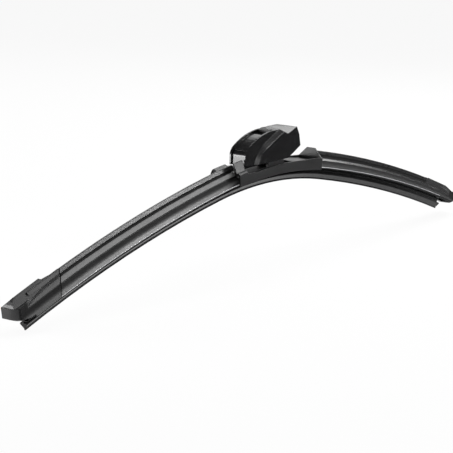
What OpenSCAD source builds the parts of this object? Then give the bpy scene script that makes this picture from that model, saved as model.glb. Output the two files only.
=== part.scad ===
// Flat beam wiper blade with a hook arm adapter.
// X runs along the blade, +Y is the far side and +Z points away from the glass.
// The origin is the middle of the flat seat on the adapter where the arm's hook lies.

/* [Blade] */
// Arc length from the middle of the blade to the tip of the left end cap
left_reach = 228; // [200:1:300]
// Arc length from the middle of the blade to the tip of the right end cap
right_reach = 226; // [200:1:300]
// Radius of the relaxed blade in its middle stretch
centre_radius = 294; // [260:1:400]
// Radius of the relaxed blade along the wings
wing_radius = 972; // [800:10:1500]
// Arc length of the middle stretch on each side of the centre
centre_arc = 52; // [46:1:70]

/* [Spoiler] */
// Half width of the spoiler at its foot
foot_half = 7.45; // [7:0.05:9]
// Height of the fin above the spoiler's foot
fin_height = 10.5; // [9.5:0.1:13]
// Height of the outer edge of the ledge on the near flank
ledge_height = 4.8; // [4.2:0.1:5.4]
// Thickness of the claws that hold the rails
claw_thick = 0.55; // [0.4:0.05:0.8]
// Bevel along the lower outer edges of the spoiler
foot_edge = 0.8; // [0.3:0.05:0.9]
// Gap between a spoiler and the connector or an end cap, along the blade
spoiler_gap = 0.6; // [0.3:0.1:1]

/* [Rails] */
// Width of each spring steel rail
rail_width = 3.2; // [2.8:0.1:3.6]
// Thickness of each spring steel rail
rail_thick = 0.8; // [0.6:0.05:1]
// Distance from the centre line to the inner edge of a rail
rail_inset = 1.7; // [1.5:0.1:2]
// Room left round the rails and the rubber
slide_clear = 0.1; // [0.05:0.01:0.15]

/* [Rubber] */
// Half width of the rubber's head above the rails
head_half = 2.6; // [2.2:0.1:2.8]
// Height of the rubber's head above the rails
head_rise = 1.1; // [0.8:0.1:1.4]
// Half width of the rubber's root between the claws
root_half = 1.2; // [1:0.1:1.6]
// Half width of the thin skirt below the spoiler
skirt_half = 3.2; // [2.4:0.1:3.4]
// Depth of the skirt below the spoiler's foot
skirt_depth = 1.6; // [1.4:0.1:2]
// Half width of the thin neck on which the wedge tips over
neck_half = 0.5; // [0.4:0.05:0.7]
// Height of the thin neck
neck_height = 1.3; // [1:0.1:1.6]
// Half width of the wedge's shoulder
wedge_half = 2.3; // [1.8:0.1:2.8]
// Height of the tapering wedge below its shoulder
wedge_height = 2.3; // [1.8:0.1:2.8]
// Half thickness of the wiping lip
lip_half = 0.35; // [0.25:0.05:0.5]
// Height of the wiping lip
lip_height = 1; // [0.8:0.1:1.4]

/* [End caps] */
// Length of each end cap along the blade, from its tip to its seam at the fin
cap_length = 39; // [37:0.5:44]
// Thickness of the end wall at a cap's tip
cap_wall = 5; // [4:0.5:8]
// Height of the top edge of a cap's front wall above its foot
cap_tip_height = 7.8; // [7:0.1:8.4]
// Height of a cap's crest above its foot
cap_crest = 11.9; // [11.5:0.1:12.6]
// Radius of a cap's near corner in plan
cap_corner = 10; // [9.5:0.1:11]
// Distance from the left tip to where its cap rises over the fin
left_rise = 28.5; // [26:0.5:34]
// Distance from the right tip to where its cap rises over the fin
right_rise = 34.5; // [26:0.5:35]
// Free room at the rubber's right end, where it can creep
creep_room = 13; // [0:0.5:14]

/* [Connector] */
// Arc length from the middle to each end of the connector cover
cover_half = 42; // [38:0.5:45]
// Half width over the cover's side walls
cover_half_width = 8.7; // [8.5:0.05:10]
// Thickness of the cover's walls
cover_wall = 1; // [0.8:0.05:1.1]
// Height of the end wall that stands over the fin of the right spoiler
hump_height = 12.1; // [11.6:0.1:13]
// Thickness of that end wall
hump_thick = 1.4; // [1:0.1:2]

/* [Pivot] */
// Height of the pivot pin above the spoiler's foot at the middle
pin_height = 11; // [10.5:0.1:12]
// Radius of the pivot pin
pin_radius = 2.4; // [2:0.1:2.6]
// Radial running clearance of the pin in its bush
pin_clear = 0.05; // [0.02:0.01:0.09]
// Wall of the bush on the pin
bush_wall = 0.9; // [0.7:0.05:1.1]

/* [Adapter] */
// Width of the arm's hook that the adapter takes
hook_width = 9.2; // [8.8:0.1:9.4]
// Thickness of the rims beside the hook's strip
rim_thick = 1; // [0.8:0.05:1.2]
// Height of the rims above the hook's strip
rim_rise = 1.2; // [0.8:0.1:1.6]
// Distance from the pivot to the front of the nose
nose_reach = 34; // [33:0.5:36]
// Distance from the pivot to the rear of the adapter
rear_reach = 20.2; // [19:0.1:22]
// Height of the adapter's roof above the spoiler's foot
roof_height = 25.2; // [24:0.1:27]
// How far the side panels stand proud of the rims
panel_proud = 1.6; // [1.2:0.1:1.8]
// Depth of the notch in the roof at its near edge
notch_depth = 3; // [2.4:0.1:3.4]
// Thickness of the roof and rear wall of the adapter's cover
cover_thick = 1.2; // [1:0.1:1.4]

/* [Release button] */
// Half width of the button across the blade
button_half = 4.3; // [3.8:0.1:4.4]
// Room beside the button in its slot
button_clear = 0.2; // [0.1:0.05:0.3]
// Height of the button's crown above the spoiler's foot
button_top = 26.8; // [26:0.1:28]
// Thickness of the flange that keeps the button under the roof
button_flange = 1; // [0.8:0.1:1.4]

/* [Hidden] */
black = [0.12, 0.12, 0.125];
deep_black = [0.07, 0.07, 0.075];
steel = [0.45, 0.46, 0.48];

// Levels across the section, measured from the spoiler's foot
rail_low = claw_thick + slide_clear / 2;
rail_top = rail_low + rail_thick;
rail_outer = rail_inset + rail_width;
head_top = rail_top + slide_clear + head_rise;
slot_half = rail_outer + slide_clear;
claw_reach = slot_half - 1.1;
hood_half = head_half + 2 * slide_clear;
neck_top = -skirt_depth;
shoulder = neck_top - neck_height;
lip_root = shoulder - 0.8 - wedge_height;

// Stretches along the blade
rubber_left = left_reach - cap_wall - 1;
rubber_right = right_reach - cap_wall - 1 - creep_room;
rail_set_back = 2;
fin_start_left = cover_half - 4.5;
fin_start_right = cover_half + spoiler_gap;

// Turning of the blade's centre line, in degrees rounded to a thousandth
function thousandth(a) = round(a * 1000) / 1000;
join_angle = thousandth(centre_arc / centre_radius * 180 / PI);
function turn(s) = s <= centre_arc ? thousandth(s / centre_radius * 180 / PI)
    : thousandth(join_angle + (s - centre_arc) / wing_radius * 180 / PI);
function on_line(s, h) = s <= centre_arc
    ? [(centre_radius + h) * sin(turn(s)), (centre_radius + h) * cos(turn(s)) - centre_radius]
    : [(centre_radius - wing_radius) * sin(join_angle) + (wing_radius + h) * sin(turn(s)),
       (centre_radius - wing_radius) * cos(join_angle) + (wing_radius + h) * cos(turn(s)) - centre_radius];

// Points of a curve that leaves a along the line to b and arrives at c
function bend(a, b, c, n = 6) = [for (i = [0:n]) let (t = i / n)
    a * (1 - t) * (1 - t) + b * 2 * t * (1 - t) + c * t * t];
function flip(points) = [for (i = [len(points) - 1:-1:0]) [-points[i][0], points[i][1]]];
function arc(centre, r, from, to, n = 8) = [for (i = [0:n]) let (a = from + (to - from) * i / n)
    centre + r * [cos(a), sin(a)]];

// Places of the adapter's side profile
corner_r = 5;
crown_r = 50;
crown_turn = 34;
crown_centre = [-4.4, roof_height - crown_r];
corner_low = 12.5;
nose_foot = 7.2;
seat_front = -14;
seat_back = -8.4;
seat_height = crown_centre[1] + sqrt(pow(crown_r - rim_rise, 2) - pow(seat_front - crown_centre[0], 2));
seat_middle = (seat_front + seat_back) / 2;
adapter_half = hook_width / 2 + rim_thick;
panel_half = adapter_half + panel_proud;
inner_half = hook_width / 2 + 0.3;
shell = 1.4;

// The ears, the boss and the pin
ear_gap = 5.4;
ear_thick = 1.2;
boss_half = ear_gap / 2 - 0.3;
bush_radius = pin_radius + pin_clear + bush_wall;
boss_radius = bush_radius + 1.6;
head_radius = pin_radius + 1;
head_thick = 0.55;
seat_clear = 0.02;

// The button's slot, between the hook's seat and the cover's roof
slot_front = seat_back - button_clear;
slot_back = seat_back + 4.2;
cover_front = slot_back + 0.2;
web_front = -2.6;
button_play = 0.05;
boss_top = pin_height + boss_radius;

module in_place() {
    translate([-seat_middle, 0, -seat_height]) children();
}

// Sweeps a section, drawn as (across, up), along a circle from angle a0 to a1
module swing(r, a0, a1) {
    rotate([90, 0, 0])
        rotate_extrude(angle = a1 - a0, start = 90 - a1, $fn = 256)
            translate([r, 0])
                rotate(-90)
                    children();
}

// Sweeps a section along the blade's centre line, from s0 to s1
module along(s0, s1) {
    c0 = max(s0, -centre_arc);
    c1 = min(s1, centre_arc);
    if (c1 > c0)
        translate([0, 0, -centre_radius])
            swing(centre_radius, turn_signed(c0), turn_signed(c1)) children();
    if (s1 > centre_arc)
        wing() swing(wing_radius, turn(max(s0, centre_arc)), turn(s1)) children();
    if (s0 < -centre_arc)
        mirror([1, 0, 0])
            wing() swing(wing_radius, turn(max(-s1, centre_arc)), turn(-s0)) children();
}

function turn_signed(s) = s < 0 ? -turn(-s) : turn(s);

// Moves its children to the centre of the right wing's circle, first by whole
// millimetres and then by the rest, so that the stretches meet face to face
module wing() {
    x = (centre_radius - wing_radius) * sin(join_angle);
    z = (centre_radius - wing_radius) * cos(join_angle) - centre_radius;
    translate([round(x), 0, round(z)])
        translate([x - round(x), 0, z - round(z)])
            children();
}

// Outline of the rubber: head, web between the rails, root, skirt, neck, wedge and lip
module rubber_outline() {
    skirt_thick = 0.4;
    right = [
        [head_half - 0.4, head_top], [head_half, head_top - 0.4],
        [head_half, rail_top + slide_clear], [rail_inset - slide_clear, rail_top + slide_clear],
        [rail_inset - slide_clear, rail_low - slide_clear], [root_half, rail_low - slide_clear - 0.4],
        [root_half, neck_top + skirt_thick], [skirt_half, neck_top + skirt_thick - 0.1],
        [skirt_half, neck_top], [neck_half, neck_top],
        [neck_half, shoulder], [wedge_half - 0.2, shoulder], [wedge_half, shoulder - 0.2],
        [wedge_half, shoulder - 0.8], [lip_half, lip_root], [lip_half, lip_root - lip_height]
    ];
    polygon(concat(right, flip(right)));
}

// The channel in the underside that takes the rails and the rubber's head
module channel() {
    polygon([
        [-claw_reach, -1], [-claw_reach, claw_thick], [-slot_half, claw_thick],
        [-slot_half, rail_top + slide_clear], [-hood_half, rail_top + slide_clear],
        [-hood_half, head_top + slide_clear], [hood_half, head_top + slide_clear],
        [hood_half, rail_top + slide_clear], [slot_half, rail_top + slide_clear],
        [slot_half, claw_thick], [claw_reach, claw_thick], [claw_reach, -1]
    ]);
}

// Near flank of the spoiler, from its foot up to the root of the fin
flange_top = [-foot_half + 2.15, 1.95];
ledge_outer = -2.95;
ledge_inner = -0.45;
near_flank = concat(
    [[-foot_half + foot_edge, 0], [-foot_half, foot_edge], [-foot_half, foot_edge + 0.15]],
    bend(flange_top, [ledge_outer - 0.35, 2.9], [ledge_outer, ledge_height - 0.45]),
    [[ledge_outer, ledge_height], [ledge_inner, ledge_height + 1.6]]
);
// Far flank, one plain hollow curve down from the fin
far_flank = concat(
    bend([1.45, fin_height - 1.6], [1.7, 4], [foot_half - 1.4, 1.6]),
    [[foot_half, foot_edge + 0.15], [foot_half, foot_edge], [foot_half - foot_edge, 0]]
);
fin_face = [
    [-0.1, ledge_height + 2.5], [-0.6, fin_height - 2.05], [0.2, fin_height - 0.35],
    [0.45, fin_height - 0.08], [0.8, fin_height], [1.15, fin_height - 0.15], [1.35, fin_height - 0.5]
];

spoiler_edge = concat(near_flank, fin_face, far_flank);

module wiper_rubber() {
    color(deep_black) in_place() along(-rubber_left, rubber_right) rubber_outline();
}

module rail(side) {
    color(steel) in_place()
        along(-rubber_left + rail_set_back, rubber_right - rail_set_back)
            translate([side * (rail_inset + rail_width / 2) - rail_width / 2, rail_low])
                square([rail_width, rail_thick]);
}

module rail_near() {
    rail(-1);
}

module rail_far() {
    rail(1);
}

// Puts its children at the left cap, x running in from the tip and z up
module at_cap(reach) {
    middle = reach - cap_length / 2;
    foot = on_line(middle, 0);
    translate([-foot[0], 0, foot[1]])
        rotate([0, -turn(middle), 0])
            translate([-cap_length / 2, 0, 0])
                children();
}

// Extrudes a section of the cap between two distances from the tip
module stretch(t0, t1) {
    translate([t0, 0, 0]) rotate([90, 0, 90]) linear_extrude(t1 - t0) children();
}

// Lean of the oblique seam, and where it meets the fin's near face
seam_lean = 1.37;
fin_near = 0.2;

// Plan on one side of the seam between a cap and its spoiler
module past_seam(end, shift) {
    side = foot_half + 2;
    polygon([
        [end, side], [cap_length + shift, side], [cap_length + shift, fin_near],
        [cap_length + shift - seam_lean * (side + fin_near), -side], [end, -side]
    ]);
}

// A spoiler on the left wing, cut along the seam of its cap
module spoiler(reach, start) {
    difference() {
        along(-reach + cap_length - seam_lean * (foot_half + 0.5), -start)
            difference() {
                polygon(spoiler_edge);
                channel();
            }
        at_cap(reach)
            translate([0, 0, -3])
                linear_extrude(fin_height + 6)
                    past_seam(-5, spoiler_gap);
    }
}

module spoiler_left() {
    color(black) in_place() spoiler(left_reach, fin_start_left);
}

module spoiler_right() {
    color(black) in_place() mirror([1, 0, 0]) spoiler(right_reach, fin_start_right);
}

// Envelope of a cap's tip: leaning front, round at the near corner, undercut below
module tip_envelope() {
    lift = 2;
    undercut = 1.3;
    lean = 0.155;
    under = 3;
    top = cap_crest + 3;
    corner_y = cap_corner - foot_half;
    deep = undercut * (lift + under);
    back = lean * (top - lift);
    translate([cap_corner, -foot_half - 1, -under])
        cube([cap_length, 2 * foot_half + 2, under + top]);
    translate([0, foot_half + 1, 0])
        rotate([90, 0, 0])
            linear_extrude(foot_half + 1 - corner_y)
                polygon([[0, lift], [back, top], [cap_corner, top], [cap_corner, -under], [deep, -under]]);
    translate([cap_corner, corner_y, 0])
        rotate_extrude($fn = 128)
            polygon([
                [0, -under], [cap_corner - deep, -under], [cap_corner, lift],
                [cap_corner - back, top], [0, top]
            ]);
}

// Plan of the cap's hood, which widens from the fin to the whole tip
module hood_plan() {
    seam = cap_length + 1;
    polygon(concat(
        [[-1, -2.95], [9.3, -2.95]],
        bend([13.2, -2.15], [20, -0.45], [seam, -0.45], 5),
        bend([seam, 1.3], [cap_length * 0.6, 4.4], [8, foot_half], 5),
        [[-1, foot_half]]
    ));
}

// Plan of the flat block behind the cap's front wall
module tip_plan() {
    polygon([[-1, -4.3], [4.1, -3.7], [9.3, -2.95], [13, -1], [13, foot_half], [-1, foot_half]]);
}

// Side profile of the hood: front wall, crest, and the step down to the fin
module hood_profile(rise) {
    polygon(concat(
        [[-1, -3], [-1, cap_tip_height - 0.9]],
        bend([1.4, cap_tip_height + 0.1], [4.4, cap_crest], [11, cap_crest]),
        [[rise - 3, cap_crest], [rise, fin_height - 0.9]],
        [[cap_length + 2, fin_height - 1.2], [cap_length + 2, -3]]
    ));
}

// Section of the hood: a slope on the near side, a crest and the far side
module hood_section() {
    steep = 0.9;
    side = foot_half + 2;
    root = [-2.2, 7];
    crest_y = 2.1;
    polygon(concat(
        [[-side, -2], [-side, root[1] - (side + root[0]) * steep]],
        bend([crest_y, root[1] + (crest_y - root[0]) * steep], [2.8, cap_crest + 0.1], [3.9, 10.5], 4),
        [[foot_half - 0.5, 8.2], [foot_half - 0.05, 7.6], [foot_half - 0.05, -2]]
    ));
}

module hood(rise) {
    bottom = 1;
    translate([0, 0, bottom]) linear_extrude(cap_tip_height - bottom) tip_plan();
    intersection() {
        translate([0, 0, bottom]) linear_extrude(cap_crest + 2) hood_plan();
        translate([0, foot_half + 2, 0])
            rotate([90, 0, 0])
                linear_extrude(2 * foot_half + 4)
                    hood_profile(rise);
        stretch(-2, cap_length + 3) hood_section();
    }
}

// An end cap for the left wing; the spoiler's section runs through it into the hood
module cap(reach, rise) {
    fin_stop = 14;
    body_top = 7;
    difference() {
        at_cap(reach)
            intersection() {
                union() {
                    stretch(fin_stop, cap_length + 1) polygon(spoiler_edge);
                    stretch(-1, fin_stop)
                        intersection() {
                            polygon(spoiler_edge);
                            translate([-foot_half - 1, -1]) square([2 * foot_half + 2, body_top + 1]);
                        }
                    hood(rise);
                }
                tip_envelope();
            }
        along(-reach + cap_wall, -reach + cap_length + 2) channel();
        at_cap(reach)
            translate([0, 0, -3])
                linear_extrude(fin_height + 8)
                    past_seam(cap_length + 6, 0);
    }
}

module end_cap_left() {
    color(black) in_place() cap(left_reach, left_rise);
}

module end_cap_right() {
    color(black) in_place() mirror([1, 0, 0]) cap(right_reach, right_rise);
}

// Metal base: a folded plate over the rails with claws, and two ears for the pin
base_set_back = 12;
base_half = cover_half - base_set_back;
base_plate = 0.9;
base_low = rail_top + 0.15;
base_side = slot_half + 0.1;
base_hump = head_top + 0.2;

module base_fold(with_claws) {
    right = concat(
        [[head_half + 0.3, base_hump], [head_half + 0.3, base_low], [base_side, base_low]],
        with_claws
            ? [[base_side, rail_low - 0.15], [claw_reach, rail_low - 0.15],
               [claw_reach, rail_low - 0.15 - base_plate * 0.7],
               [base_side + base_plate, rail_low - 0.15 - base_plate * 0.7]]
            : [[base_side, rail_low], [base_side + base_plate, rail_low]],
        [[base_side + base_plate, base_low + base_plate - 0.2],
         [base_side + base_plate - 0.2, base_low + base_plate],
         [head_half + 0.3 + base_plate, base_low + base_plate],
         [head_half + 0.3 + base_plate, base_hump + base_plate - 0.2],
         [head_half + 0.1 + base_plate, base_hump + base_plate]]
    );
    polygon(concat(right, flip(right)));
}

module ear_outline() {
    difference() {
        union() {
            translate([0, pin_height]) circle(r = pin_radius + 2.4, $fn = 64);
            polygon([
                [-8.5, base_hump], [-8.5, base_hump + 2], [-4.7, pin_height + 1],
                [4.7, pin_height + 1], [8.5, base_hump + 2], [8.5, base_hump]
            ]);
        }
        translate([0, pin_height]) circle(r = pin_radius + seat_clear, $fn = 64);
    }
}

module ear(side) {
    translate([0, side * (ear_gap / 2 + ear_thick / 2) + ear_thick / 2, 0])
        rotate([90, 0, 0])
            linear_extrude(ear_thick)
                ear_outline();
}

module connector_base() {
    color(steel) in_place() {
        along(-base_half + 10, base_half - 10) base_fold(false);
        along(-base_half, -base_half + 10) base_fold(true);
        along(base_half - 10, base_half) base_fold(true);
        ear(-1);
        ear(1);
    }
}

// Levels of the plastic cover, which has two side walls, floors fore and aft,
// an end wall, a horn on the near side and a shoulder on the far side
wall_foot = -0.6;
wall_top = 6.5;
floor_low = base_hump + base_plate + 0.3;
floor_thick = 1;
pocket_back = 14;
spine_top_half = 2.65;

// Outline of the end wall that stands over the right spoiler
module hump_outline() {
    side = cover_half_width;
    polygon([
        [-side, wall_foot], [-side, wall_top - 0.6], [-side + 1.1, wall_top + 0.6],
        [-spine_top_half, hump_height], [spine_top_half, hump_height],
        [side - 1.1, wall_top + 0.6], [side, wall_top - 0.6], [side, wall_foot]
    ]);
}

module hump() {
    along(cover_half - hump_thick, cover_half)
        difference() {
            hump_outline();
            channel();
        }
}

// Top edge of the side walls, seen from the side, and the taller left end of the far one
wall_line = concat(
    bend([-24, 3.3], [-9, 4.9], [7, 5.2], 5),
    bend([8, 5.2], [25, 4.8], [43, 3.65], 5)
);
rim_line = [
    [-48.3, 1.9], [-47.4, 3.9], [-44.3, 5.5], [-37.6, 6.2], [-32.4, 5.8], [-27.5, 5.4], [-25, 3.4]
];
wall_depth = 20;
rim_overhang = 6.5;

module side_wall(side) {
    far = side > 0;
    intersection() {
        along(-cover_half - (far ? rim_overhang : 0), cover_half)
            translate([side * (cover_half_width - cover_wall / 2) - cover_wall / 2, wall_foot])
                square([cover_wall, wall_top + 4]);
        across(-cover_half_width - 1, cover_half_width + 1)
            polygon(concat(
                far ? rim_line : [[-cover_half - 5, 3.4]],
                wall_line,
                [[50, -wall_depth], [-cover_half, -wall_depth]],
                far ? [[-cover_half - 1, 0], [-48.3, 0.9]] : [[-cover_half - 5, -wall_depth]]
            ));
    }
}

module cover_floor(s0, s1) {
    along(s0, s1)
        translate([-cover_half_width + cover_wall / 2, floor_low])
            square([2 * cover_half_width - cover_wall, floor_thick]);
}

// Reach from the pivot that stays free for the nose, however far the blade is tipped
nose_sweep = nose_reach + 1.2;

// Upright horn on the near side, beside the end of the left spoiler's fin
module near_horn() {
    horn_root = wall_top + 0.7;
    horn_top = 12.8;
    intersection() {
        along(-cover_half, -cover_half + 9.5)
            polygon([
                [-cover_half_width, wall_top - 1], [-cover_half_width, wall_top],
                [-cover_half_width + 1, horn_root], [-6.4, horn_root],
                [-4.6, horn_top], [-3.6, horn_top], [-5.4, wall_top - 1]
            ]);
        across(-10, 0)
            polygon([[-45, 0], [-45, horn_top], [-nose_sweep, horn_top], [-nose_sweep, 0]]);
    }
}

// Rounded shoulder on top of the far wall's tall end
module far_shoulder() {
    intersection() {
        along(-cover_half - rim_overhang, -cover_half + 9.5)
            polygon([
                [cover_half_width, wall_top], [cover_half_width, 8.5], [8.3, 9], [7.6, 9.1],
                [5.2, 8.2], [5.2, 7.4], [cover_half_width - cover_wall, 8],
                [cover_half_width - cover_wall, wall_top]
            ]);
        across(4, 10)
            polygon([
                [-48.2, 0], [-48.2, 1.9], [-47.3, 4], [-45.6, 6], [-43, 7.6],
                [-nose_sweep, 8.6], [-nose_sweep, 0]
            ]);
    }
}

// Snap lug inside a side wall, which hooks under the edge of the metal base
module lug(side, end) {
    inner = base_side + base_plate + slide_clear;
    middle = end * (base_half - 5);
    along(middle - 3, middle + 3)
        polygon([
            [side * (cover_half_width - cover_wall / 2), 0.2], [side * inner, rail_low],
            [side * inner, rail_top], [side * (cover_half_width - cover_wall / 2), 3.4]
        ]);
}

module connector_cover() {
    color(black) in_place() {
        side_wall(-1);
        side_wall(1);
        hump();
        cover_floor(pocket_back, cover_half - hump_thick / 2);
        cover_floor(-fin_start_left + 0.4, -base_half - 1.5);
        near_horn();
        far_shoulder();
        for (side = [-1, 1], end = [-1, 1])
            lug(side, end);
    }
}

module pivot_pin() {
    half = ear_gap / 2 + ear_thick + 0.05;
    color(steel) in_place()
        translate([0, 0, pin_height])
            rotate([90, 0, 0]) {
                cylinder(h = 2 * half + 0.2, r = pin_radius, center = true, $fn = 64);
                for (side = [-1, 1])
                    translate([0, 0, side * (half + head_thick / 2)])
                        cylinder(h = head_thick, r = head_radius, center = true, $fn = 64);
            }
}

module pivot_bush() {
    color([0.75, 0.75, 0.72]) in_place()
        translate([0, 0, pin_height])
            rotate([90, 0, 0])
                difference() {
                    cylinder(h = 2 * boss_half, r = bush_radius, center = true, $fn = 64);
                    cylinder(h = 2 * boss_half + 1, r = pin_radius + pin_clear, center = true, $fn = 64);
                }
}

// Underside of the adapter, from the foot of its rear wall to the nose
rear_low = 13.8;
belly = [[12.7, 10], [7.4, 7.6], [-25.6, 7]];

// Side profile of the adapter, shrunk inward by the given amount
module adapter_profile(inset) {
    nose = [-nose_reach + corner_r, corner_low];
    polygon(concat(
        [[-nose_reach + inset, nose_foot]],
        arc(nose, corner_r - inset, 180, 180 - 90 + crown_turn, 6),
        arc(crown_centre, crown_r - inset, 90 + crown_turn, 90, 10),
        [[rear_reach - 4.4 - inset, roof_height + 0.3 - inset], [rear_reach - 1.6 - inset, 20.6],
         [rear_reach - inset, rear_low]],
        belly
    ));
}

// Extrudes an adapter profile over a stretch across the blade
module across(y0, y1) {
    translate([0, y1, 0]) rotate([90, 0, 0]) linear_extrude(y1 - y0) children();
}

// Outline of the raised side panels
module panel_outline() {
    top_slope = 0.33;
    top_start = [-1.6, roof_height + 0.1];
    front = -28;
    polygon([
        [front, belly[2][1]], belly[1], belly[0], [rear_reach, rear_low], [rear_reach - 1.6, 20.6],
        [rear_reach - 4.4, roof_height + 0.3], top_start,
        [front, top_start[1] + (front - top_start[0]) * top_slope]
    ]);
}

// Outside of the panel's bevelled front edge: a turned stretch, then a straight one
module panel_bevel() {
    radius = 21.65;
    bevel = 2.85;
    slack = 0.5;
    run = bevel / panel_proud * slack;
    last_turn = 117;
    kink = 2;
    far = 45;
    edge = [[radius + run, -slack], [radius - bevel - run, panel_proud + slack]];
    translate([-5.5, -adapter_half, -0.7]) {
        rotate([90, 0, 0])
            rotate_extrude(angle = 80, start = last_turn, $fn = 256)
                polygon([edge[0], edge[1], [far, panel_proud + slack], [far, -slack]]);
        rotate([0, 90 - last_turn + kink, 0])
            stretch(-3, far)
                polygon([
                    [slack, edge[0][0] * cos(kink)], [-panel_proud - slack, edge[1][0] * cos(kink)],
                    [-panel_proud - slack, far], [slack, far]
                ]);
    }
}

module panel(side) {
    mirror([0, side > 0 ? 1 : 0, 0])
        difference() {
            across(-panel_half, -adapter_half) panel_outline();
            panel_bevel();
        }
}

// Side profile of the body: whole in front, lowered under the cover behind
module body_profile() {
    intersection() {
        adapter_profile(0);
        translate([-nose_reach - 1, 0]) square([nose_reach + 1 + cover_front, 40]);
    }
    intersection() {
        adapter_profile(cover_thick);
        translate([cover_front - 1, 0]) square([40, 40]);
    }
}

// V notch across the roof, deepest at the near edge, lowered by the given amount
module roof_notch(drop) {
    notch_x = 6.7;
    reach = 12;
    translate([notch_x, -panel_half, roof_height - notch_depth - drop])
        rotate([13, 0, 0])
            across(-2 * panel_half, 2 * panel_half)
                polygon([[0, 0], [reach, reach * 0.355], [reach, 20], [-reach, 20], [-reach, reach * 0.39]]);
}

// The cover: a roof and a rear wall bent over the body, and the two side panels
module adapter_cover() {
    color(black) in_place()
        difference() {
            union() {
                across(-adapter_half, adapter_half)
                    intersection() {
                        adapter_profile(0);
                        translate([cover_front, rear_low]) square([40, 20]);
                    }
                panel(-1);
                panel(1);
            }
            roof_notch(0);
            difference() {
                across(-adapter_half, adapter_half) adapter_profile(cover_thick);
                roof_notch(cover_thick);
            }
        }
}

// The strip between the rims, where the hook lies
module hook_strip() {
    across(-hook_width / 2, hook_width / 2)
        difference() {
            translate([-nose_reach - 1, 0]) square([nose_reach + 1 + seat_back, roof_height + 5]);
            difference() {
                adapter_profile(rim_rise);
                translate([seat_front, seat_height]) square([seat_back - seat_front, 5]);
            }
        }
}

// The hollow of the adapter, open below, its ceiling lower under the notch
module adapter_hollow() {
    rear_ceiling = roof_height - cover_thick - notch_depth - 0.4;
    back = rear_reach - cover_thick - shell;
    across(-inner_half, inner_half) {
        intersection() {
            adapter_profile(rim_rise + shell);
            union() {
                translate([-40, 0]) square([40 + web_front, seat_height - shell]);
                translate([-40, 0]) square([40 + back, rear_ceiling]);
            }
        }
        polygon([[-nose_reach + rim_rise + shell, 0], [-nose_reach + rim_rise + shell, 9],
                 [back - 1.8, 12.2], [back - 1.8, 0]]);
    }
}

// Boss that hangs from the roof and runs on the pin
module boss() {
    difference() {
        across(-boss_half, boss_half) {
            translate([0, pin_height]) circle(r = boss_radius, $fn = 64);
            translate([web_front, pin_height]) square([3.4 - web_front, roof_height - 2 - pin_height]);
        }
        across(-boss_half - 1, boss_half + 1)
            translate([0, pin_height]) circle(r = bush_radius + seat_clear, $fn = 64);
    }
}

module adapter_body() {
    color(black) in_place() {
        difference() {
            across(-adapter_half, adapter_half) body_profile();
            hook_strip();
            adapter_hollow();
            roof_notch(cover_thick);
            translate([slot_front, -button_half - button_clear, 15])
                cube([slot_back - slot_front, 2 * (button_half + button_clear), 15]);
        }
        boss();
    }
}

// Press button: a round-topped tab that stops the hook, with a flange under the roof
module release_button() {
    flange_top = seat_height - shell - button_play;
    color(deep_black) in_place() {
        intersection() {
            translate([slot_front + button_clear, -button_half, flange_top - 0.5])
                cube([slot_back - slot_front - 2 * button_clear, 2 * button_half, 7]);
            translate([seat_back, 0, button_top - 5])
                rotate([0, 90, 0])
                    cylinder(h = 30, r = 5, center = true, $fn = 64);
        }
        translate([slot_front - 1, -button_half, flange_top - button_flange])
            cube([slot_back - slot_front + 1.9, 2 * button_half, button_flange]);
    }
}

// Bent leaf spring that holds the button up
module button_spring() {
    spring_top = seat_height - shell - button_play - button_flange;
    foot_low = boss_top + 0.3;
    leaf = 0.25;
    color(steel) in_place()
        across(-2, 2)
            polygon([
                [web_front, foot_low], [web_front, foot_low + 2.6], [web_front - leaf, foot_low + 2.6],
                [web_front - leaf, foot_low + leaf], [web_front - 1.5, foot_low + leaf],
                [web_front - 4.4, spring_top], [web_front - 5.6, spring_top],
                [web_front - 5.6, spring_top - leaf], [web_front - 4.55, spring_top - leaf],
                [web_front - 1.65, foot_low]
            ]);
}

wiper_rubber();
rail_near();
rail_far();
spoiler_left();
spoiler_right();
end_cap_left();
end_cap_right();
connector_base();
connector_cover();
pivot_pin();
pivot_bush();
adapter_body();
adapter_cover();
release_button();
button_spring();
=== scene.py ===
"""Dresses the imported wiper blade: rubber, plastic and steel finishes, camera, lamps and floor."""

import math

import bmesh
import bpy
from mathutils import Matrix, Vector


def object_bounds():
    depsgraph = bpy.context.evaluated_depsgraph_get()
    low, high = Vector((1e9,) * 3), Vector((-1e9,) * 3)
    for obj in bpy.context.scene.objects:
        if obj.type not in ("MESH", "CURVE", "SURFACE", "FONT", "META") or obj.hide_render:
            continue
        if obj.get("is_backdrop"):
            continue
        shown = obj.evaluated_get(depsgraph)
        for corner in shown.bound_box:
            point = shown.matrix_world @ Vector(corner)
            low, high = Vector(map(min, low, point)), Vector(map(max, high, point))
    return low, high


bl_info = {
    "name": "Wiper blade",
    "version": (1, 0, 0),
    "blender": (4, 5, 0),
    "location": "View3D > Sidebar > Wiper blade",
    "description": "Finishes and studio for a flat wiper blade with a hook adapter",
    "category": "Object",
}

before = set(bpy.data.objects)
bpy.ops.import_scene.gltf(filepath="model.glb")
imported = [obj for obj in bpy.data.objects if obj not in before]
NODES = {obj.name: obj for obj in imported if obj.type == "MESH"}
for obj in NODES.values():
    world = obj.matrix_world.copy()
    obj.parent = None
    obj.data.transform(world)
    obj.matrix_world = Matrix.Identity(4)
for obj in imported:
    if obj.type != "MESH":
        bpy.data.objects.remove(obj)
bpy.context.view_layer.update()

# Places in the blade's section, in mm: Y across the blade, or height above the curved foot
FLUTE_Y = (-5.2, -2.95)
FOOT_EDGE_Y = -7.37
NEAR_FLANK_Y = (0.3, 0.6)
GROOVE_HEIGHT = (6.3, 8.5)
# Where along the blade, in mm, the painted shade on the flange of the right half sets in
RIGHT_HALF_X = (20, 30)
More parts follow.
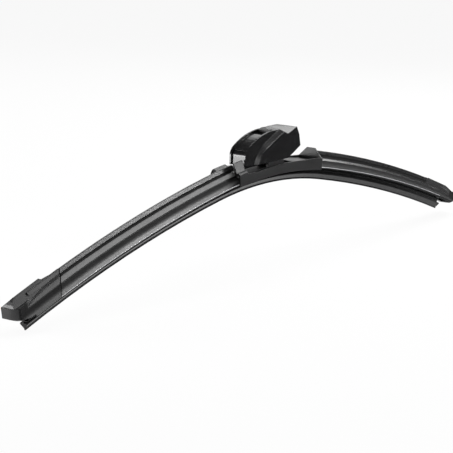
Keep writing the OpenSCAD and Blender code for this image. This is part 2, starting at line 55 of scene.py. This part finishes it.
# The blade's middle along X, and the wings' arc: its radius at the foot, and its centre's
# place beyond the middle and below the frame's origin, all in mm
MIDDLE_X = 11.2
WING_RADIUS = 972.0
WING_CENTRE = (119.29, 984.47)

MILLIMETRE = 0.001
# How dark the painted shade in the flute and in the groove under the fin is against the rest
PAINTED_SHADE_TONE = 0.35
LAMP_AIMS = {"left_wing": (-0.15, 0, -0.05), "nose": (-0.035, 0, -0.01), "middle": (0, 0, 0)}
# Softboxes: aim, direction from there, distance, width, height and brightness, in metres.
# They light, in this order: the fin's face on the left half, the ledge of the right half,
# the ledge and flange of the left half, the nose, the panel's bevel, the bevel's edge, the
# crown beside the button, and the roof with the upper edges
LAMPS = {
    "near_right": ("left_wing", (0.77, -0.77, 0.35), 1.15, 0.32, 0.16, 30.0),
    "right_glint": ("middle", (0.90, 0.20, 0.44), 1.0, 0.4, 0.2, 8.0),
    "overhead": ("left_wing", (0.50, -0.13, 0.86), 1.0, 0.6, 0.6, 5.0),
    "far_left": ("nose", (-0.79, 0.58, -0.08), 0.32, 0.25, 0.07, 16.0),
    "near_side": ("middle", (0.17, -0.97, 0.10), 1.0, 0.38, 0.45, 2.4),
    "bevel_glint": ("middle", (0.48, -0.87, -0.08), 1.0, 0.16, 0.16, 9.0),
    "over_notch": ("middle", (0.43, 0.28, 0.86), 1.0, 0.3, 0.3, 7.0),
    "back": ("middle", (0.76, 0.42, 0.50), 1.1, 1.0, 0.35, 1.7),
}
FLOOR_REACH = 6.0
SENSOR_WIDTH = 36
CLIP_RANGE = (0.01, 50)


class FinishSettings(bpy.types.PropertyGroup):
    """Colours and surface values of the blade's materials"""

    rubber_colour: bpy.props.FloatVectorProperty(
        name="Rubber", description="Colour of the wiper rubber", subtype="COLOR", size=3,
        min=0, max=1, default=(0.010, 0.010, 0.0105),
    )
    spoiler_colour: bpy.props.FloatVectorProperty(
        name="Spoiler", description="Colour of the extruded spoilers", subtype="COLOR", size=3,
        min=0, max=1, default=(0.012, 0.012, 0.0125),
    )
    moulding_colour: bpy.props.FloatVectorProperty(
        name="Mouldings", description="Colour of the cover and the end caps", subtype="COLOR",
        size=3, min=0, max=1, default=(0.014, 0.014, 0.0145),
    )
    adapter_colour: bpy.props.FloatVectorProperty(
        name="Adapter", description="Colour of the adapter", subtype="COLOR", size=3,
        min=0, max=1, default=(0.009, 0.009, 0.0095),
    )
    spoiler_roughness: bpy.props.FloatProperty(
        name="Spoiler roughness", description="Roughness of the spoilers", min=0, max=1,
        default=0.31, subtype="FACTOR",
    )
    moulding_roughness: bpy.props.FloatProperty(
        name="Moulding roughness", description="Roughness of the cover and the caps", min=0, max=1,
        default=0.42, subtype="FACTOR",
    )
    adapter_roughness: bpy.props.FloatProperty(
        name="Adapter roughness", description="Roughness of the adapter", min=0, max=1,
        default=0.20, subtype="FACTOR",
    )
    edge_radius: bpy.props.FloatProperty(
        name="Edge radius", description="Radius that the shading gives to moulded edges",
        unit="LENGTH", min=0, max=0.001, default=0.00022, precision=5,
    )


class StudioSettings(bpy.types.PropertyGroup):
    """Camera and lamps"""

    lens: bpy.props.FloatProperty(
        name="Lens", description="Focal length on the 36 mm sensor", min=10, max=500,
        default=142.615,
    )
    camera_place: bpy.props.FloatVectorProperty(
        name="Camera", description="Where the camera stands", subtype="TRANSLATION",
        unit="LENGTH", size=3, default=(-0.851080, -0.596323, 0.154607),
    )
    heading: bpy.props.FloatProperty(
        name="Heading", description="Turn of the view from +Y towards +X", subtype="ANGLE",
        default=math.radians(53.9542),
    )
    dip: bpy.props.FloatProperty(
        name="Dip", description="How far the view looks down", subtype="ANGLE",
        default=math.radians(11.4400),
    )
    roll: bpy.props.FloatProperty(
        name="Roll", description="Turn of the camera about its view", subtype="ANGLE",
        default=math.radians(1.44624),
    )
    soft_level: bpy.props.FloatProperty(
        name="Soft light", description="Even light from all round", min=0, max=2, default=0.25,
    )
    dark_level: bpy.props.FloatProperty(
        name="Dark walls", description="Brightness of the walls that only reflections see",
        min=0, max=2, default=0.05,
    )
    floor_glow: bpy.props.FloatProperty(
        name="Floor glow", description="Share of the floor's white that no shadow dims",
        min=0, max=1, default=0.92, subtype="FACTOR",
    )
    floor_drop: bpy.props.FloatProperty(
        name="Floor drop", description="Gap between the lowest point and the floor", unit="LENGTH",
        min=0, max=0.1, default=0.0005, precision=4,
    )


def finishes():
    """The scene's finish settings"""
    return bpy.context.scene.blade_finishes


def studio():
    """The scene's studio settings"""
    return bpy.context.scene.blade_studio


class Graph:
    """A material's node tree, built node by node"""

    def __init__(self, name, slot):
        self.material = bpy.data.materials.new(name)
        self.material.use_nodes = True
        self.material["record_slot"] = slot
        self.tree = self.material.node_tree
        self.shader = self.tree.nodes["Principled BSDF"]
        coords = self.add("ShaderNodeTexCoord")
        self.millimetres = self.mapped(coords.outputs["Object"], (1000, 1000, 1000))

    def add(self, kind, **settings):
        """Adds a node"""
        node = self.tree.nodes.new(kind)
        for key, value in settings.items():
            setattr(node, key, value)
        return node

    def join(self, source, target):
        """Links two sockets"""
        self.tree.links.new(source, target)

    def feed(self, socket, value):
        """Links a socket, or sets it to a plain value"""
        if isinstance(value, bpy.types.NodeSocket):
            self.join(value, socket)
        else:
            socket.default_value = value

    def mapped(self, vector, scale):
        """The vector, scaled along each axis"""
        node = self.add("ShaderNodeMapping")
        node.inputs["Scale"].default_value = scale
        self.join(vector, node.inputs["Vector"])
        return node.outputs["Vector"]

    def noise(self, scale, detail=3.0, stretch=(1, 1, 1)):
        """Cloudy noise with the given number of features per mm"""
        node = self.add("ShaderNodeTexNoise")
        node.inputs["Scale"].default_value = scale
        node.inputs["Detail"].default_value = detail
        vector = self.millimetres
        if stretch != (1, 1, 1):
            vector = self.mapped(vector, stretch)
        self.join(vector, node.inputs["Vector"])
        return node.outputs["Fac"]

    def cells(self, scale):
        """Soft cells, as a sparked mould leaves them"""
        node = self.add("ShaderNodeTexVoronoi", feature="SMOOTH_F1")
        node.inputs["Scale"].default_value = scale
        self.join(self.millimetres, node.inputs["Vector"])
        return node.outputs["Distance"]

    def spread(self, value, low, high, from_low=0.3, from_high=0.7):
        """Maps one range of a value to another, clamped at both ends"""
        node = self.add("ShaderNodeMapRange")
        self.feed(node.inputs["Value"], value)
        node.inputs["From Min"].default_value = from_low
        node.inputs["From Max"].default_value = from_high
        node.inputs["To Min"].default_value = low
        node.inputs["To Max"].default_value = high
        return node.outputs["Result"]

    def math(self, a, b, operation="ADD", limit=False):
        """Combines two values; with a limit the result stays between 0 and 1"""
        node = self.add("ShaderNodeMath", operation=operation, use_clamp=limit)
        self.feed(node.inputs[0], a)
        self.feed(node.inputs[1], b)
        return node.outputs["Value"]

    def blend(self, share, a, b):
        """Mixes the second colour into the first by a share"""
        node = self.add("ShaderNodeMix", data_type="RGBA")
        self.feed(node.inputs["Factor"], share)
        for key, value in (("A", a), ("B", b)):
            socket = [s for s in node.inputs if s.name == key and s.type == "RGBA"][0]
            if isinstance(value, bpy.types.NodeSocket):
                self.join(value, socket)
            else:
                socket.default_value = (*value[:3], 1)
        return [s for s in node.outputs if s.type == "RGBA"][0]

    def place(self):
        """The place on the piece in mm, as one socket for each axis"""
        node = self.add("ShaderNodeSeparateXYZ")
        self.join(self.millimetres, node.inputs["Vector"])
        return [node.outputs[axis] for axis in "XYZ"]

    def flute_shade_share(self):
        """Share of the flute under the ledge, and on the right half of the flange too, that gets
        painted shade
        """
        along, across, _ = self.place()
        outer_y, inner_y = FLUTE_Y
        inner = self.spread(across, 1, 0, inner_y - 0.1, inner_y + 0.05)
        outer = self.spread(across, 0, 1, outer_y - 0.6, outer_y + 1.2)
        right_half = self.spread(along, 0, 1, *RIGHT_HALF_X)
        flange = self.spread(across, 0, 1, FOOT_EDGE_Y + 0.05, FOOT_EDGE_Y + 0.2)
        outer = self.math(outer, self.math(right_half, flange, "MULTIPLY"), "MAXIMUM")
        return self.math(inner, outer, "MULTIPLY")

    def groove_shade_share(self):
        """Share of the groove under the fin that gets painted shade, from the height above the
        curved foot
        """
        along, across, up = self.place()
        along = self.math(self.math(along, MIDDLE_X, "SUBTRACT"), 0.0, "ABSOLUTE")
        along = self.math(along, WING_CENTRE[0])
        up = self.math(up, WING_CENTRE[1])
        square = self.math(
            self.math(along, along, "MULTIPLY"), self.math(up, up, "MULTIPLY")
        )
        height = self.math(self.math(square, 0.5, "POWER"), WING_RADIUS, "SUBTRACT")
        bottom, top = GROOVE_HEIGHT
        fade = 0.2
        rising = self.spread(height, 0, 1, bottom, bottom + fade)
        falling = self.spread(height, 1, 0, top - fade, top)
        near = self.spread(across, 1, 0, *NEAR_FLANK_Y)
        return self.math(self.math(rising, falling, "MULTIPLY"), near, "MULTIPLY")

    def foot_edge_highlight_share(self):
        """Share of the outermost edge of the near foot that a painted highlight makes paler"""
        across = self.place()[1]
        return self.spread(across, 1, 0, FOOT_EDGE_Y - 0.02, FOOT_EDGE_Y + 0.08)

    def rounded(self, radius):
        """Normal that rounds the edges off"""
        node = self.add("ShaderNodeBevel", samples=6)
        node.inputs["Radius"].default_value = radius
        return node.outputs["Normal"]

    def edges(self, rounded):
        """Share of the edges, where the rounded normal leaves the plain one"""
        plain = self.add("ShaderNodeNewGeometry")
        dot = self.add("ShaderNodeVectorMath", operation="DOT_PRODUCT")
        self.join(rounded, dot.inputs[0])
        self.join(plain.outputs["Normal"], dot.inputs[1])
        gap = self.math(1.0, dot.outputs["Value"], "SUBTRACT")
        return self.spread(gap, 0, 1, 0.004, 0.22)

    def bump(self, height, depth, normal):
        """Normal with a relief of the given depth in mm"""
        node = self.add("ShaderNodeBump")
        node.inputs["Strength"].default_value = 1.0
        node.inputs["Distance"].default_value = depth * MILLIMETRE
        self.join(height, node.inputs["Height"])
        self.join(normal, node.inputs["Normal"])
        return node.outputs["Normal"]

    def finish(self, colour, roughness, normal, **fixed):
        """Joins the looks to the shader and returns the material"""
        self.feed(self.shader.inputs["Base Color"], colour)
        self.feed(self.shader.inputs["Roughness"], roughness)
        self.join(normal, self.shader.inputs["Normal"])
        for name, value in fixed.items():
            self.shader.inputs[name.replace("_", " ")].default_value = value
        return self.material


def tone(colour, share):
    """A colour made darker or paler"""
    return [min(1.0, channel * share) for channel in colour]


def altered(g, share, looks, colour, roughness):
    """Shifts a colour and a roughness, by a share of the surface, to another colour and by
    the given roughness"""
    shade, rough = looks
    change = "ADD" if roughness > 0 else "SUBTRACT"
    shade = g.blend(share, shade, colour)
    rough = g.math(rough, g.math(share, abs(roughness), "MULTIPLY"), change, True)
    return shade, rough


def wiper_rubber_finish():
    """Dull rubber with drawn lines along it and a little pale bloom"""
    g = Graph("wiper_rubber_finish", "rubber")
    colour = finishes().rubber_colour
    drawn = g.noise(2.2, 2.0, (0.02, 1, 1))
    bloom = g.noise(0.12, 4.0)
    grain = g.noise(5.0, 2.0)
    normal = g.rounded(finishes().edge_radius * 0.6)
    shade = g.blend(g.spread(bloom, 0, 1, 0.45, 0.75), colour, tone(colour, 1.7))
    rough = g.math(g.spread(drawn, 0.13, 0.20), g.spread(bloom, -0.02, 0.03))
    normal = g.bump(drawn, 0.03, normal)
    normal = g.bump(grain, 0.012, normal)
    return g.finish(shade, rough, normal, Specular_IOR_Level=0.24)


def spoiler_finish():
    """Satin extruded rubber: fine die lines along the blade, soft grain, rubbed edges, painted
    shade in the flute and the groove, and a painted highlight on the foot's edge
    """
    g = Graph("spoiler_finish", "spoiler_rubber")
    settings = finishes()
    colour = settings.spoiler_colour
    die_lines = g.noise(1.6, 3.0, (0.012, 1, 1))
    fine_lines = g.noise(5.0, 2.0, (0.03, 1, 1))
    grain = g.noise(7.0, 2.0)
    patches = g.noise(0.05, 3.0)
    soft = g.rounded(settings.edge_radius)
    rubbed = g.edges(soft)
    # Painted shade: the flute, the right half's flange and the groove under the fin get a darker
    # colour and more roughness
    painted_shade = g.math(g.flute_shade_share(), g.groove_shade_share(), "MAXIMUM")
    shade = g.blend(g.spread(patches, 0, 1), tone(colour, 0.88), tone(colour, 1.12))
    shade = g.blend(g.math(rubbed, 0.35, "MULTIPLY"), shade, tone(colour, 2.2))
    base = settings.spoiler_roughness
    rough = g.math(g.spread(die_lines, base - 0.05, base + 0.05), g.spread(patches, -0.03, 0.03))
    rough = g.math(rough, g.math(rubbed, 0.14, "MULTIPLY"), "SUBTRACT", True)
    looks = altered(g, painted_shade, (shade, rough), tone(colour, PAINTED_SHADE_TONE), 0.55)
    # Painted highlight: the outermost edge of the near foot gets a far paler colour and less
    # roughness
    shade, rough = altered(g, g.foot_edge_highlight_share(), looks, tone(colour, 40.0), -0.15)
    normal = g.bump(die_lines, 0.022, soft)
    normal = g.bump(fine_lines, 0.006, normal)
    normal = g.bump(grain, 0.006, normal)
    return g.finish(shade, rough, normal, Specular_IOR_Level=0.5)


def moulded_finish(name, slot, colour, base, grain_depth, gloss_edges=0.10, flute_shaded=False):
    """Moulded plastic with a fine sparked grain, faint flow marks and polished edges, and
    on the caps the spoiler's painted shade in the flute; base is the roughness, the depth is in mm"""
    g = Graph(name, slot)
    sparks = g.cells(2.6)
    fine = g.noise(6.0, 3.0)
    flow = g.noise(0.16, 3.0, (0.5, 1.4, 1.4))
    soft = g.rounded(finishes().edge_radius)
    rubbed = g.edges(soft)
    shade = g.blend(g.spread(flow, 0, 1), tone(colour, 0.90), tone(colour, 1.10))
    shade = g.blend(g.math(rubbed, 0.30, "MULTIPLY"), shade, tone(colour, 2.0))
    rough = g.math(g.spread(fine, base - 0.04, base + 0.04), g.spread(flow, -0.03, 0.03))
    rough = g.math(rough, g.math(rubbed, gloss_edges, "MULTIPLY"), "SUBTRACT", True)
    # Painted shade in the flute, as on the spoilers: a darker colour and more roughness
    if flute_shaded:
        dark = tone(colour, PAINTED_SHADE_TONE)
        shade, rough = altered(g, g.flute_shade_share(), (shade, rough), dark, 0.5)
    normal = g.bump(sparks, grain_depth, soft)
    normal = g.bump(fine, grain_depth * 0.5, normal)
    return g.finish(shade, rough, normal, Specular_IOR_Level=0.5)


def metal_finish(name, slot, colour, roughness, stretch, depth, metallic=1.0):
    """Steel with rolling or turning lines in one direction; the roughness is a low and a high"""
    g = Graph(name, slot)
    lines = g.noise(3.0, 3.0, stretch)
    stain = g.noise(0.08, 4.0)
    soft = g.rounded(finishes().edge_radius * 0.5)
    shade = g.blend(g.spread(stain, 0, 1), tone(colour, 0.82), tone(colour, 1.08))
    rough = g.math(g.spread(lines, *roughness), g.spread(stain, -0.05, 0.05))
    normal = g.bump(lines, depth, soft)
    return g.finish(shade, rough, normal, Metallic=metallic)


def dress(node, material):
    """Puts a material on a CAD node"""
    data = NODES[node].data
    data.materials.clear()
    data.materials.append(material)


class BLADE_OT_rubber(bpy.types.Operator):
    """Finish the wiper rubber"""

    bl_idname = "blade.rubber"
    bl_label = "Wiper rubber"

    def execute(self, context):
        dress("wiper_rubber", wiper_rubber_finish())
        return {"FINISHED"}


class BLADE_OT_spoilers(bpy.types.Operator):
    """Finish both spoilers"""

    bl_idname = "blade.spoilers"
    bl_label = "Spoilers"

    def execute(self, context):
        material = spoiler_finish()
        for node in ("spoiler_left", "spoiler_right"):
            dress(node, material)
        return {"FINISHED"}


class BLADE_OT_caps(bpy.types.Operator):
    """Finish both end caps"""

    bl_idname = "blade.caps"
    bl_label = "End caps"

    def execute(self, context):
        settings = finishes()
        material = moulded_finish(
            "cap_finish", "cap_plastic", settings.moulding_colour, settings.moulding_roughness,
            grain_depth=0.008, flute_shaded=True,
        )
        for node in ("end_cap_left", "end_cap_right"):
            dress(node, material)
        return {"FINISHED"}


class BLADE_OT_connector(bpy.types.Operator):
    """Finish the connector's cover and its metal base"""

    bl_idname = "blade.connector"
    bl_label = "Connector"

    def execute(self, context):
        settings = finishes()
        dress(
            "connector_cover",
            moulded_finish(
                "cover_finish", "connector_plastic", settings.moulding_colour,
                settings.moulding_roughness, grain_depth=0.008,
            ),
        )
        dress(
            "connector_base",
            metal_finish(
                "base_finish", "base_steel", (0.03, 0.03, 0.031), (0.34, 0.46),
                stretch=(1, 1, 1), depth=0.01, metallic=0.0,
            ),
        )
        return {"FINISHED"}


class BLADE_OT_metalwork(bpy.types.Operator):
    """Finish the rails, the pin, its bush and the leaf spring"""

    bl_idname = "blade.metalwork"
    bl_label = "Rails and pin"

    def execute(self, context):
        strip = metal_finish(
            "spring_steel_finish", "spring_steel", (0.42, 0.43, 0.45), (0.24, 0.40),
            stretch=(0.03, 1, 1), depth=0.006,
        )
        for node in ("rail_near", "rail_far", "button_spring"):
            dress(node, strip)
        dress(
            "pivot_pin",
            metal_finish(
                "pin_finish", "pin_steel", (0.50, 0.50, 0.52), (0.22, 0.36),
                stretch=(1, 0.1, 1), depth=0.006,
            ),
        )
        dress(
            "pivot_bush",
            moulded_finish(
                "bush_finish", "bush_plastic", (0.62, 0.62, 0.58), 0.38, grain_depth=0.004
            ),
        )
        return {"FINISHED"}


class BLADE_OT_adapter(bpy.types.Operator):
    """Finish the adapter, its cover and the release button"""

    bl_idname = "blade.adapter"
    bl_label = "Adapter"

    def execute(self, context):
        settings = finishes()
        glossy = moulded_finish(
            "adapter_finish", "adapter_plastic", settings.adapter_colour,
            settings.adapter_roughness, grain_depth=0.003, gloss_edges=0.05,
        )
        for node in ("adapter_body", "adapter_cover"):
            dress(node, glossy)
        dress(
            "release_button",
            moulded_finish(
                "button_finish", "button_plastic", tone(settings.adapter_colour, 0.8), 0.45,
                grain_depth=0.007,
            ),
        )
        return {"FINISHED"}


def area_lamp(name, aim, direction, distance, width, height, level):
    """Adds a softbox that shines at a point with the given brightness per area"""
    data = bpy.data.lights.new(name, "AREA")
    data.shape = "RECTANGLE"
    data.size = width
    data.size_y = height
    data.energy = level * math.pi * width * height
    lamp = bpy.data.objects.new(name, data)
    bpy.context.scene.collection.objects.link(lamp)
    away = Vector(direction).normalized()
    lamp.location = Vector(aim) + away * distance
    lamp.rotation_euler = (-away).to_track_quat("-Z", "Y").to_euler()


class Web:
    """Small helper for node trees of the floor and the world"""

    def __init__(self, owner):
        owner.use_nodes = True
        self.tree = owner.node_tree
        self.tree.nodes.clear()

    def add(self, kind, *sources, **settings):
        """Adds a node and feeds its inputs in order"""
        node = self.tree.nodes.new(kind)
        for key, value in settings.items():
            setattr(node, key, value)
        for index, source in enumerate(sources):
            if isinstance(source, bpy.types.NodeSocket):
                self.tree.links.new(source, node.inputs[index])
            elif source is not None:
                node.inputs[index].default_value = source
        return node

    def fade(self, value, start, end, low, high):
        """Smooth change from low to high between two values"""
        node = self.add(
            "ShaderNodeMapRange", value, start, end, low, high, interpolation_type="SMOOTHSTEP"
        )
        return node.outputs["Result"]

    def math(self, operation, a, b):
        """Combines two values"""
        return self.add("ShaderNodeMath", a, b, operation=operation).outputs[0]

    def mirrored_rays(self):
        """Whether the camera sees this, and whether a reflection or a clear piece does"""
        rays = self.add("ShaderNodeLightPath").outputs
        glossy = self.math("MAXIMUM", rays["Is Glossy Ray"], rays["Is Transmission Ray"])
        return rays["Is Camera Ray"], glossy


def white_floor_material():
    """White for the camera and in reflections, with the object's shadow left on it.
    Reflections see it fall to dark on the near side, as under a shaded table edge"""
    material = bpy.data.materials.new("floor_white")
    web = Web(material)
    camera, glossy = web.mirrored_rays()
    place = web.add("ShaderNodeNewGeometry").outputs["Position"]
    across = web.add("ShaderNodeSeparateXYZ", place).outputs["Y"]
    mirrored = web.fade(across, -0.10, 0.03, 0.06, 1.0)
    level = web.math("MAXIMUM", web.math("MULTIPLY", glossy, mirrored), camera)
    glow = web.add("ShaderNodeEmission", (1, 1, 1, 1), level)
    matte = web.add("ShaderNodeBsdfDiffuse", (0.8, 0.8, 0.8, 1))
    share = web.math("MAXIMUM", glossy, web.math("MULTIPLY", camera, studio().floor_glow))
    mix = web.add("ShaderNodeMixShader", share, matte.outputs[0], glow.outputs[0])
    web.add("ShaderNodeOutputMaterial", mix.outputs[0])
    return material


def white_world(scene):
    """Even soft light, white behind the object; reflections see dark walls above and
    beside the white backdrop"""
    scene.world = bpy.data.worlds.new("white_studio")
    web = Web(scene.world)
    camera, glossy = web.mirrored_rays()
    ray = web.add("ShaderNodeSeparateXYZ", web.add("ShaderNodeTexCoord").outputs["Generated"])
    behind = web.fade(ray.outputs["Y"], 0.40, 0.56, 0.0, 1.0)
    low = web.fade(ray.outputs["Z"], 0.16, 0.32, 1.0, 0.0)
    backdrop = web.math("MULTIPLY", behind, low)
    level = web.math("MAXIMUM", backdrop, studio().dark_level)
    shown = web.add("ShaderNodeBackground", (1, 1, 1, 1), 1.0)
    soft = web.add("ShaderNodeBackground", (1, 1, 1, 1), studio().soft_level)
    mirrored = web.add("ShaderNodeBackground", (1, 1, 1, 1), level)
    lit = web.add("ShaderNodeMixShader", glossy, soft.outputs[0], mirrored.outputs[0])
    seen = web.add("ShaderNodeMixShader", camera, lit.outputs[0], shown.outputs[0])
    web.add("ShaderNodeOutputWorld", seen.outputs[0])


def add_floor(scene):
    """Adds the white floor just under the blade's lowest point"""
    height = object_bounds()[0].z - studio().floor_drop
    mesh = bpy.data.meshes.new("floor")
    shape = bmesh.new()
    bmesh.ops.create_grid(shape, x_segments=1, y_segments=1, size=FLOOR_REACH)
    bmesh.ops.translate(shape, vec=(0, 0, height), verts=shape.verts)
    shape.to_mesh(mesh)
    shape.free()
    floor = bpy.data.objects.new("floor", mesh)
    scene.collection.objects.link(floor)
    mesh.materials.append(white_floor_material())
    floor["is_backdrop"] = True


def add_camera(scene):
    """Adds the photo's camera, turned by its heading, dip and roll"""
    settings = studio()
    data = bpy.data.cameras.new("camera")
    data.lens = settings.lens
    data.sensor_width = SENSOR_WIDTH
    data.clip_start, data.clip_end = CLIP_RANGE
    camera = bpy.data.objects.new("camera", data)
    scene.collection.objects.link(camera)
    heading, dip, roll = settings.heading, settings.dip, settings.roll
    ahead = Vector(
        (math.sin(heading) * math.cos(dip), math.cos(heading) * math.cos(dip), -math.sin(dip))
    )
    level = Vector((math.cos(heading), -math.sin(heading), 0))
    up = level.cross(ahead)
    right = math.cos(roll) * level + math.sin(roll) * up
    over = -math.sin(roll) * level + math.cos(roll) * up
    turn = Matrix((right, over, -ahead)).transposed().to_4x4()
    camera.matrix_world = Matrix.Translation(settings.camera_place) @ turn
    scene.camera = camera


class BLADE_OT_stage(bpy.types.Operator):
    """Add the floor, the lamps, the white surroundings and the camera"""

    bl_idname = "blade.stage"
    bl_label = "Studio"

    def execute(self, context):
        add_floor(context.scene)
        white_world(context.scene)
        for name, (aim, *values) in LAMPS.items():
            area_lamp(name, LAMP_AIMS[aim], *values)
        add_camera(context.scene)
        context.scene.view_settings.view_transform = "Standard"
        return {"FINISHED"}


STEPS = (
    BLADE_OT_rubber,
    BLADE_OT_spoilers,
    BLADE_OT_caps,
    BLADE_OT_connector,
    BLADE_OT_metalwork,
    BLADE_OT_adapter,
    BLADE_OT_stage,
)


class BLADE_PT_steps(bpy.types.Panel):
    """Lists the steps that dress the blade"""

    bl_idname = "BLADE_PT_steps"
    bl_label = "Wiper blade"
    bl_space_type = "VIEW_3D"
    bl_region_type = "UI"
    bl_category = "Wiper blade"

    def draw(self, context):
        for step in STEPS:
            self.layout.operator(step.bl_idname)
        for group in (finishes(), studio()):
            for key in group.__annotations__:
                self.layout.prop(group, key)


CLASSES = (FinishSettings, StudioSettings, *STEPS, BLADE_PT_steps)


def register():
    for item in CLASSES:
        bpy.utils.register_class(item)
    bpy.types.Scene.blade_finishes = bpy.props.PointerProperty(type=FinishSettings)
    bpy.types.Scene.blade_studio = bpy.props.PointerProperty(type=StudioSettings)


def unregister():
    del bpy.types.Scene.blade_studio
    del bpy.types.Scene.blade_finishes
    for item in reversed(CLASSES):
        bpy.utils.unregister_class(item)


def main():
    register()
    for step in STEPS:
        group, name = step.bl_idname.split(".")
        getattr(getattr(bpy.ops, group), name)()


if __name__ == "__main__":
    main()
